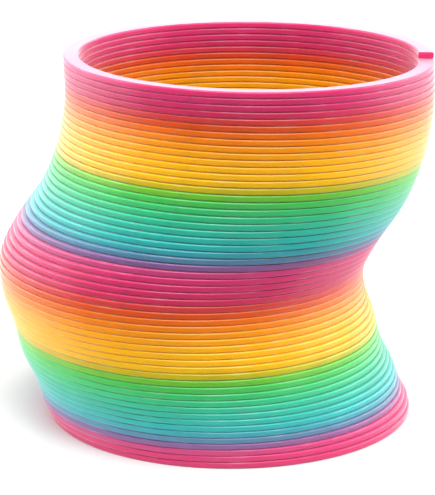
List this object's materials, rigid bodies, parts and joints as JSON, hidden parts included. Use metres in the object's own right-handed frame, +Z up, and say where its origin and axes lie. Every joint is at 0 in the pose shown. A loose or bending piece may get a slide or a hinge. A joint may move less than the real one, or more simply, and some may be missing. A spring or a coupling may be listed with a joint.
{
  "type": "spring coil toy",
  "caption": "Closed helical coil of flat moulded plastic strip in rainbow colours, standing in a slight sway; it stretches along its length and arches over.",
  "frame": {"origin": "On the surface that the coil stands on, under the middle of its box.", "axes": "+Z up along the coil. +X to the side where the strip's free ends are and towards which the coil arches. +Y towards the back."},
  "size_m": [0.0902, 0.076, 0.0772],
  "materials": {
    "pink": "satin",
    "rose": "satin",
    "red_orange": "satin",
    "orange": "satin",
    "amber": "satin",
    "yellow": "satin",
    "lime_green": "satin",
    "green": "satin",
    "teal": "satin",
    "blue": "satin",
    "violet": "satin"
  },
  "bodies": {
    "turn_01": {"turn_01": "pink"},
    "turn_02": {"turn_02": "pink"},
    "turn_03": {"turn_03": "pink"},
    "turn_04": {"turn_04": "violet"},
    "turn_05": {"turn_05": "violet"},
    "turn_06": {"turn_06": "blue"},
    "turn_07": {"turn_07": "teal"},
    "turn_08": {"turn_08": "teal"},
    "turn_09": {"turn_09": "teal"},
    "turn_10": {"turn_10": "green"},
    "turn_11": {"turn_11": "green"},
    "turn_12": {"turn_12": "green"},
    "turn_13": {"turn_13": "lime_green"},
    "turn_14": {"turn_14": "lime_green"},
    "turn_15": {"turn_15": "yellow"},
    "turn_16": {"turn_16": "yellow"},
    "turn_17": {"turn_17": "amber"},
    "turn_18": {"turn_18": "amber"},
    "turn_19": {"turn_19": "amber"},
    "turn_20": {"turn_20": "amber"},
    "turn_21": {"turn_21": "orange"},
    "turn_22": {"turn_22": "orange"},
    "turn_23": {"turn_23": "orange"},
    "turn_24": {"turn_24": "red_orange"},
    "turn_25": {"turn_25": "red_orange"},
    "turn_26": {"turn_26": "rose"},
    "turn_27": {"turn_27": "rose"},
    "turn_28": {"turn_28": "pink"},
    "turn_29": {"turn_29": "pink"},
    "turn_30": {"turn_30": "pink"},
    "turn_31": {"turn_31": "violet"},
    "turn_32": {"turn_32": "violet"},
    "turn_33": {"turn_33": "blue"},
    "turn_34": {"turn_34": "teal"},
    "turn_35": {"turn_35": "teal"},
    "turn_36": {"turn_36": "teal"},
    "turn_37": {"turn_37": "green"},
    "turn_38": {"turn_38": "green"},
    "turn_39": {"turn_39": "green"},
    "turn_40": {"turn_40": "lime_green"},
    "turn_41": {"turn_41": "lime_green"},
    "turn_42": {"turn_42": "yellow"},
    "turn_43": {"turn_43": "yellow"},
    "turn_44": {"turn_44": "amber"},
    "turn_45": {"turn_45": "amber"},
    "turn_46": {"turn_46": "amber"},
    "turn_47": {"turn_47": "amber"},
    "turn_48": {"turn_48": "orange"},
    "turn_49": {"turn_49": "orange"},
    "turn_50": {"turn_50": "orange"},
    "turn_51": {"turn_51": "red_orange"},
    "turn_52": {"turn_52": "red_orange"},
    "turn_53": {"turn_53": "rose"},
    "turn_54": {"turn_54": "rose"},
    "turn_55": {"turn_55": "pink"},
    "turn_56": {"turn_56": "pink"}
  },
  "joints": [
    {"name": "stretch_01", "type": "slide", "parent": "turn_01", "child": "turn_02", "axis": [0, 0, 1], "range_m": [0, 0.02], "stiffness_N_per_m": 14},
    {"name": "arch_02", "type": "hinge", "parent": "turn_02", "child": "turn_03", "pos_m": [0.04038, 0, 0.00303], "axis": [0, 1, 0], "range_deg": [0, 5.85], "stiffness_Nm_per_rad": 0.01},
    {"name": "stretch_03", "type": "slide", "parent": "turn_03", "child": "turn_04", "axis": [0, 0, 1], "range_m": [0, 0.02], "stiffness_N_per_m": 14},
    {"name": "arch_04", "type": "hinge", "parent": "turn_04", "child": "turn_05", "pos_m": [0.03908, 0, 0.00563], "axis": [0, 1, 0], "range_deg": [0, 5.85], "stiffness_Nm_per_rad": 0.01},
    {"name": "stretch_05", "type": "slide", "parent": "turn_05", "child": "turn_06", "axis": [0, 0, 1], "range_m": [0, 0.02], "stiffness_N_per_m": 14},
    {"name": "arch_06", "type": "hinge", "parent": "turn_06", "child": "turn_07", "pos_m": [0.03823, 0, 0.00831], "axis": [0, 1, 0], "range_deg": [0, 5.85], "stiffness_Nm_per_rad": 0.01},
    {"name": "stretch_07", "type": "slide", "parent": "turn_07", "child": "turn_08", "axis": [0, 0, 1], "range_m": [0, 0.02], "stiffness_N_per_m": 14},
    {"name": "arch_08", "type": "hinge", "parent": "turn_08", "child": "turn_09", "pos_m": [0.03716, 0, 0.01095], "axis": [0, 1, 0], "range_deg": [0, 5.85], "stiffness_Nm_per_rad": 0.01},
    {"name": "stretch_09", "type": "slide", "parent": "turn_09", "child": "turn_10", "axis": [0, 0, 1], "range_m": [0, 0.02], "stiffness_N_per_m": 14},
    {"name": "arch_10", "type": "hinge", "parent": "turn_10", "child": "turn_11", "pos_m": [0.03574, 0, 0.01358], "axis": [0, 1, 0], "range_deg": [0, 5.85], "stiffness_Nm_per_rad": 0.01},
    {"name": "stretch_11", "type": "slide", "parent": "turn_11", "child": "turn_12", "axis": [0, 0, 1], "range_m": [0, 0.02], "stiffness_N_per_m": 14},
    {"name": "arch_12", "type": "hinge", "parent": "turn_12", "child": "turn_13", "pos_m": [0.0347, 0, 0.01626], "axis": [0, 1, 0], "range_deg": [0, 5.85], "stiffness_Nm_per_rad": 0.01},
    {"name": "stretch_13", "type": "slide", "parent": "turn_13", "child": "turn_14", "axis": [0, 0, 1], "range_m": [0, 0.02], "stiffness_N_per_m": 14},
    {"name": "arch_14", "type": "hinge", "parent": "turn_14", "child": "turn_15", "pos_m": [0.0341, 0, 0.01896], "axis": [0, 1, 0], "range_deg": [0, 5.85], "stiffness_Nm_per_rad": 0.01},
    {"name": "stretch_15", "type": "slide", "parent": "turn_15", "child": "turn_16", "axis": [0, 0, 1], "range_m": [0, 0.02], "stiffness_N_per_m": 14},
    {"name": "arch_16", "type": "hinge", "parent": "turn_16", "child": "turn_17", "pos_m": [0.0334, 0, 0.02163], "axis": [0, 1, 0], "range_deg": [0, 5.85], "stiffness_Nm_per_rad": 0.01},
    {"name": "stretch_17", "type": "slide", "parent": "turn_17", "child": "turn_18", "axis": [0, 0, 1], "range_m": [0, 0.02], "stiffness_N_per_m": 14},
    {"name": "arch_18", "type": "hinge", "parent": "turn_18", "child": "turn_19", "pos_m": [0.03238, 0, 0.0243], "axis": [0, 1, 0], "range_deg": [0, 5.85], "stiffness_Nm_per_rad": 0.01},
    {"name": "stretch_19", "type": "slide", "parent": "turn_19", "child": "turn_20", "axis": [0, 0, 1], "range_m": [0, 0.02], "stiffness_N_per_m": 14},
    {"name": "arch_20", "type": "hinge", "parent": "turn_20", "child": "turn_21", "pos_m": [0.03146, 0, 0.02694], "axis": [0, 1, 0], "range_deg": [0, 5.85], "stiffness_Nm_per_rad": 0.01},
    {"name": "stretch_21", "type": "slide", "parent": "turn_21", "child": "turn_22", "axis": [0, 0, 1], "range_m": [0, 0.02], "stiffness_N_per_m": 14},
    {"name": "arch_22", "type": "hinge", "parent": "turn_22", "child": "turn_23", "pos_m": [0.03111, 0, 0.02954], "axis": [0, 1, 0], "range_deg": [0, 5.85], "stiffness_Nm_per_rad": 0.01},
    {"name": "stretch_23", "type": "slide", "parent": "turn_23", "child": "turn_24", "axis": [0, 0, 1], "range_m": [0, 0.02], "stiffness_N_per_m": 14},
    {"name": "arch_24", "type": "hinge", "parent": "turn_24", "child": "turn_25", "pos_m": [0.03196, 0, 0.03213], "axis": [0, 1, 0], "range_deg": [0, 5.85], "stiffness_Nm_per_rad": 0.01},
    {"name": "stretch_25", "type": "slide", "parent": "turn_25", "child": "turn_26", "axis": [0, 0, 1], "range_m": [0, 0.02], "stiffness_N_per_m": 14},
    {"name": "arch_26", "type": "hinge", "parent": "turn_26", "child": "turn_27", "pos_m": [0.03342, 0, 0.03474], "axis": [0, 1, 0], "range_deg": [0, 5.85], "stiffness_Nm_per_rad": 0.01},
    {"name": "stretch_27", "type": "slide", "parent": "turn_27", "child": "turn_28", "axis": [0, 0, 1], "range_m": [0, 0.02], "stiffness_N_per_m": 14},
    {"name": "arch_28", "type": "hinge", "parent": "turn_28", "child": "turn_29", "pos_m": [0.03506, 0, 0.03737], "axis": [0, 1, 0], "range_deg": [0, 5.85], "stiffness_Nm_per_rad": 0.01},
    {"name": "stretch_29", "type": "slide", "parent": "turn_29", "child": "turn_30", "axis": [0, 0, 1], "range_m": [0, 0.02], "stiffness_N_per_m": 14},
    {"name": "arch_30", "type": "hinge", "parent": "turn_30", "child": "turn_31", "pos_m": [0.03693, 0, 0.04004], "axis": [0, 1, 0], "range_deg": [0, 5.85], "stiffness_Nm_per_rad": 0.01},
    {"name": "stretch_31", "type": "slide", "parent": "turn_31", "child": "turn_32", "axis": [0, 0, 1], "range_m": [0, 0.02], "stiffness_N_per_m": 14},
    {"name": "arch_32", "type": "hinge", "parent": "turn_32", "child": "turn_33", "pos_m": [0.03885, 0, 0.04277], "axis": [0, 1, 0], "range_deg": [0, 5.85], "stiffness_Nm_per_rad": 0.01},
    {"name": "stretch_33", "type": "slide", "parent": "turn_33", "child": "turn_34", "axis": [0, 0, 1], "range_m": [0, 0.02], "stiffness_N_per_m": 14},
    {"name": "arch_34", "type": "hinge", "parent": "turn_34", "child": "turn_35", "pos_m": [0.0404, 0, 0.04553], "axis": [0, 1, 0], "range_deg": [0, 5.85], "stiffness_Nm_per_rad": 0.01},
    {"name": "stretch_35", "type": "slide", "parent": "turn_35", "child": "turn_36", "axis": [0, 0, 1], "range_m": [0, 0.02], "stiffness_N_per_m": 14},
    {"name": "arch_36", "type": "hinge", "parent": "turn_36", "child": "turn_37", "pos_m": [0.04161, 0, 0.04828], "axis": [0, 1, 0], "range_deg": [0, 5.85], "stiffness_Nm_per_rad": 0.01},
    {"name": "stretch_37", "type": "slide", "parent": "turn_37", "child": "turn_38", "axis": [0, 0, 1], "range_m": [0, 0.02], "stiffness_N_per_m": 14},
    {"name": "arch_38", "type": "hinge", "parent": "turn_38", "child": "turn_39", "pos_m": [0.04259, 0, 0.05104], "axis": [0, 1, 0], "range_deg": [0, 5.85], "stiffness_Nm_per_rad": 0.01},
    {"name": "stretch_39", "type": "slide", "parent": "turn_39", "child": "turn_40", "axis": [0, 0, 1], "range_m": [0, 0.02], "stiffness_N_per_m": 14},
    {"name": "arch_40", "type": "hinge", "parent": "turn_40", "child": "turn_41", "pos_m": [0.04341, 0, 0.05379], "axis": [0, 1, 0], "range_deg": [0, 5.85], "stiffness_Nm_per_rad": 0.01},
    {"name": "stretch_41", "type": "slide", "parent": "turn_41", "child": "turn_42", "axis": [0, 0, 1], "range_m": [0, 0.02], "stiffness_N_per_m": 14},
    {"name": "arch_42", "type": "hinge", "parent": "turn_42", "child": "turn_43", "pos_m": [0.04406, 0, 0.05653], "axis": [0, 1, 0], "range_deg": [0, 5.85], "stiffness_Nm_per_rad": 0.01},
    {"name": "stretch_43", "type": "slide", "parent": "turn_43", "child": "turn_44", "axis": [0, 0, 1], "range_m": [0, 0.02], "stiffness_N_per_m": 14},
    {"name": "arch_44", "type": "hinge", "parent": "turn_44", "child": "turn_45", "pos_m": [0.04456, 0, 0.05926], "axis": [0, 1, 0], "range_deg": [0, 5.85], "stiffness_Nm_per_rad": 0.01},
    {"name": "stretch_45", "type": "slide", "parent": "turn_45", "child": "turn_46", "axis": [0, 0, 1], "range_m": [0, 0.02], "stiffness_N_per_m": 14},
    {"name": "arch_46", "type": "hinge", "parent": "turn_46", "child": "turn_47", "pos_m": [0.0449, 0, 0.06197], "axis": [0, 1, 0], "range_deg": [0, 5.85], "stiffness_Nm_per_rad": 0.01},
    {"name": "stretch_47", "type": "slide", "parent": "turn_47", "child": "turn_48", "axis": [0, 0, 1], "range_m": [0, 0.02], "stiffness_N_per_m": 14},
    {"name": "arch_48", "type": "hinge", "parent": "turn_48", "child": "turn_49", "pos_m": [0.04508, 0, 0.0647], "axis": [0, 1, 0], "range_deg": [0, 5.85], "stiffness_Nm_per_rad": 0.01},
    {"name": "stretch_49", "type": "slide", "parent": "turn_49", "child": "turn_50", "axis": [0, 0, 1], "range_m": [0, 0.02], "stiffness_N_per_m": 14},
    {"name": "arch_50", "type": "hinge", "parent": "turn_50", "child": "turn_51", "pos_m": [0.04508, 0, 0.06745], "axis": [0, 1, 0], "range_deg": [0, 5.85], "stiffness_Nm_per_rad": 0.01},
    {"name": "stretch_51", "type": "slide", "parent": "turn_51", "child": "turn_52", "axis": [0, 0, 1], "range_m": [0, 0.02], "stiffness_N_per_m": 14},
    {"name": "arch_52", "type": "hinge", "parent": "turn_52", "child": "turn_53", "pos_m": [0.04508, 0, 0.07022], "axis": [0, 1, 0], "range_deg": [0, 5.85], "stiffness_Nm_per_rad": 0.01},
    {"name": "stretch_53", "type": "slide", "parent": "turn_53", "child": "turn_54", "axis": [0, 0, 1], "range_m": [0, 0.02], "stiffness_N_per_m": 14},
    {"name": "arch_54", "type": "hinge", "parent": "turn_54", "child": "turn_55", "pos_m": [0.04497, 0, 0.073], "axis": [0, 1, 0], "range_deg": [0, 5.85], "stiffness_Nm_per_rad": 0.01},
    {"name": "stretch_55", "type": "slide", "parent": "turn_55", "child": "turn_56", "axis": [0, 0, 1], "range_m": [0, 0.02], "stiffness_N_per_m": 14}
  ],
  "couplings": [
    {"joint": "stretch_03", "follows": "stretch_01", "ratio": 1},
    {"joint": "arch_04", "follows": "arch_02", "ratio": 1},
    {"joint": "stretch_05", "follows": "stretch_01", "ratio": 1},
    {"joint": "arch_06", "follows": "arch_02", "ratio": 1},
    {"joint": "stretch_07", "follows": "stretch_01", "ratio": 1},
    {"joint": "arch_08", "follows": "arch_02", "ratio": 1},
    {"joint": "stretch_09", "follows": "stretch_01", "ratio": 1},
    {"joint": "arch_10", "follows": "arch_02", "ratio": 1},
    {"joint": "stretch_11", "follows": "stretch_01", "ratio": 1},
    {"joint": "arch_12", "follows": "arch_02", "ratio": 1},
    {"joint": "stretch_13", "follows": "stretch_01", "ratio": 1},
    {"joint": "arch_14", "follows": "arch_02", "ratio": 1},
    {"joint": "stretch_15", "follows": "stretch_01", "ratio": 1},
    {"joint": "arch_16", "follows": "arch_02", "ratio": 1},
    {"joint": "stretch_17", "follows": "stretch_01", "ratio": 1},
    {"joint": "arch_18", "follows": "arch_02", "ratio": 1},
    {"joint": "stretch_19", "follows": "stretch_01", "ratio": 1},
    {"joint": "arch_20", "follows": "arch_02", "ratio": 1},
    {"joint": "stretch_21", "follows": "stretch_01", "ratio": 1},
    {"joint": "arch_22", "follows": "arch_02", "ratio": 1},
    {"joint": "stretch_23", "follows": "stretch_01", "ratio": 1},
    {"joint": "arch_24", "follows": "arch_02", "ratio": 1},
    {"joint": "stretch_25", "follows": "stretch_01", "ratio": 1},
    {"joint": "arch_26", "follows": "arch_02", "ratio": 1},
    {"joint": "stretch_27", "follows": "stretch_01", "ratio": 1},
    {"joint": "arch_28", "follows": "arch_02", "ratio": 1},
    {"joint": "stretch_29", "follows": "stretch_01", "ratio": 1},
    {"joint": "arch_30", "follows": "arch_02", "ratio": 1},
    {"joint": "stretch_31", "follows": "stretch_01", "ratio": 1},
    {"joint": "arch_32", "follows": "arch_02", "ratio": 1},
    {"joint": "stretch_33", "follows": "stretch_01", "ratio": 1},
    {"joint": "arch_34", "follows": "arch_02", "ratio": 1},
    {"joint": "stretch_35", "follows": "stretch_01", "ratio": 1},
    {"joint": "arch_36", "follows": "arch_02", "ratio": 1},
    {"joint": "stretch_37", "follows": "stretch_01", "ratio": 1},
    {"joint": "arch_38", "follows": "arch_02", "ratio": 1},
    {"joint": "stretch_39", "follows": "stretch_01", "ratio": 1},
    {"joint": "arch_40", "follows": "arch_02", "ratio": 1},
    {"joint": "stretch_41", "follows": "stretch_01", "ratio": 1},
    {"joint": "arch_42", "follows": "arch_02", "ratio": 1},
    {"joint": "stretch_43", "follows": "stretch_01", "ratio": 1},
    {"joint": "arch_44", "follows": "arch_02", "ratio": 1},
    {"joint": "stretch_45", "follows": "stretch_01", "ratio": 1},
    {"joint": "arch_46", "follows": "arch_02", "ratio": 1},
    {"joint": "stretch_47", "follows": "stretch_01", "ratio": 1},
    {"joint": "arch_48", "follows": "arch_02", "ratio": 1},
    {"joint": "stretch_49", "follows": "stretch_01", "ratio": 1},
    {"joint": "arch_50", "follows": "arch_02", "ratio": 1},
    {"joint": "stretch_51", "follows": "stretch_01", "ratio": 1},
    {"joint": "arch_52", "follows": "arch_02", "ratio": 1},
    {"joint": "stretch_53", "follows": "stretch_01", "ratio": 1},
    {"joint": "arch_54", "follows": "arch_02", "ratio": 1},
    {"joint": "stretch_55", "follows": "stretch_01", "ratio": 1}
  ]
}
